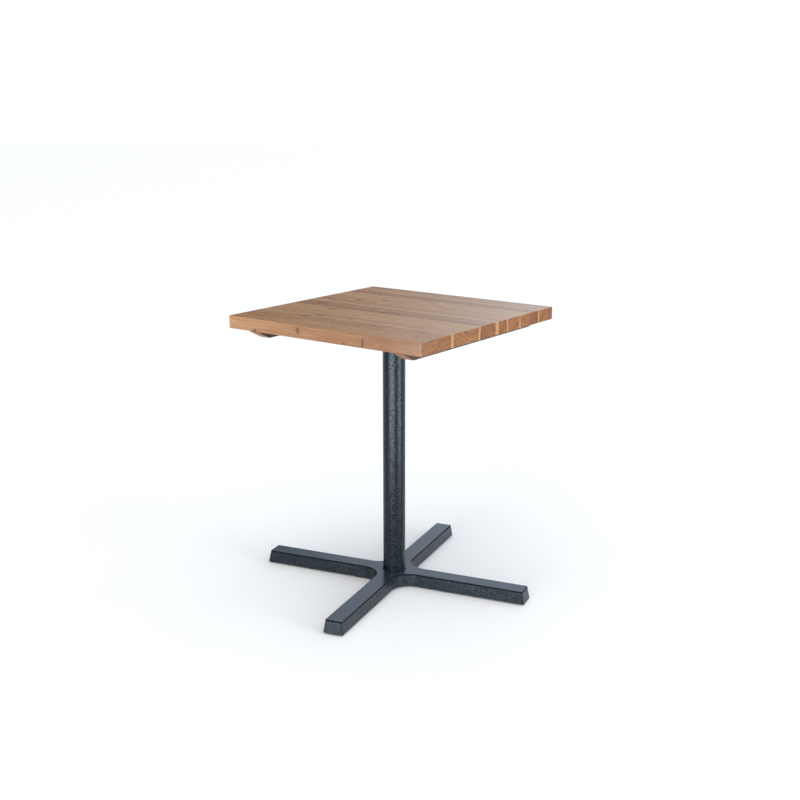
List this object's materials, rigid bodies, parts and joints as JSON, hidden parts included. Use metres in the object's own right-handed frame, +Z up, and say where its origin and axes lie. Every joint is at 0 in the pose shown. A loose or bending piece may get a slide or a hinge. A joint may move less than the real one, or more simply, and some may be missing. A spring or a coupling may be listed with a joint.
{
  "type": "bistro table",
  "caption": "Square bistro table: glued oak stave top on two battens, round steel column and tie rod, cast cross base on levelling feet.",
  "frame": {"origin": "on the floor under the centre of the column", "axes": "+Z up, +X along the top's staves, +Y across them"},
  "size_m": [0.7512, 0.7512, 0.75],
  "materials": {
    "oak": "satin oiled oak, edge-glued staves",
    "oak_batten": "satin oiled oak",
    "coated_tube": "charcoal textured powder coat",
    "coated_casting": "charcoal satin powder coat on cast iron",
    "coated_plate": "black powder coat",
    "zinc_hardware": "bright zinc plate",
    "nylon_pad": "moulded black nylon"
  },
  "bodies": {
    "table": {"stave_01": "oak", "stave_02": "oak", "stave_03": "oak", "stave_04": "oak", "stave_05": "oak", "stave_06": "oak", "stave_07": "oak", "stave_08": "oak", "stave_09": "oak", "stave_10": "oak", "stave_11": "oak", "stave_12": "oak", "batten_left": "oak_batten", "batten_right": "oak_batten", "batten_screws": "zinc_hardware", "top_plate": "coated_plate", "plate_spigot": "coated_plate", "plate_screws": "zinc_hardware", "column": "coated_tube", "tie_rod": "zinc_hardware", "tie_rod_washer": "zinc_hardware", "tie_rod_nut": "zinc_hardware", "base_casting": "coated_casting"},
    "pad_right": {"leveller_pad_right": "nylon_pad"},
    "stem_right": {"leveller_stem_right": "zinc_hardware"},
    "pad_back": {"leveller_pad_back": "nylon_pad"},
    "stem_back": {"leveller_stem_back": "zinc_hardware"},
    "pad_left": {"leveller_pad_left": "nylon_pad"},
    "stem_left": {"leveller_stem_left": "zinc_hardware"},
    "pad_front": {"leveller_pad_front": "nylon_pad"},
    "stem_front": {"leveller_stem_front": "zinc_hardware"}
  },
  "joints": [
    {"name": "foot_right_travel", "type": "slide", "parent": "table", "child": "pad_right", "axis": [0, 0, -1], "range_m": [-0.00125, 0.01]},
    {"name": "foot_right_turn", "type": "hinge", "parent": "pad_right", "child": "stem_right", "pos_m": [0.34103, 0.07873, 0], "axis": [0, 0, -1], "range_deg": [-361, 2881]},
    {"name": "foot_back_travel", "type": "slide", "parent": "table", "child": "pad_back", "axis": [0, 0, -1], "range_m": [-0.00125, 0.01]},
    {"name": "foot_back_turn", "type": "hinge", "parent": "pad_back", "child": "stem_back", "pos_m": [-0.07873, 0.34103, 0], "axis": [0, 0, -1], "range_deg": [-361, 2881]},
    {"name": "foot_left_travel", "type": "slide", "parent": "table", "child": "pad_left", "axis": [0, 0, -1], "range_m": [-0.00125, 0.01]},
    {"name": "foot_left_turn", "type": "hinge", "parent": "pad_left", "child": "stem_left", "pos_m": [-0.34103, -0.07873, 0], "axis": [0, 0, -1], "range_deg": [-361, 2881]},
    {"name": "foot_front_travel", "type": "slide", "parent": "table", "child": "pad_front", "axis": [0, 0, -1], "range_m": [-0.00125, 0.01]},
    {"name": "foot_front_turn", "type": "hinge", "parent": "pad_front", "child": "stem_front", "pos_m": [0.07873, -0.34103, 0], "axis": [0, 0, -1], "range_deg": [-361, 2881]}
  ],
  "couplings": [
    {"joint": "foot_right_turn", "follows": "foot_right_travel", "rad_per_m": 5026.5},
    {"joint": "foot_back_turn", "follows": "foot_back_travel", "rad_per_m": 5026.5},
    {"joint": "foot_left_turn", "follows": "foot_left_travel", "rad_per_m": 5026.5},
    {"joint": "foot_front_turn", "follows": "foot_front_travel", "rad_per_m": 5026.5}
  ]
}
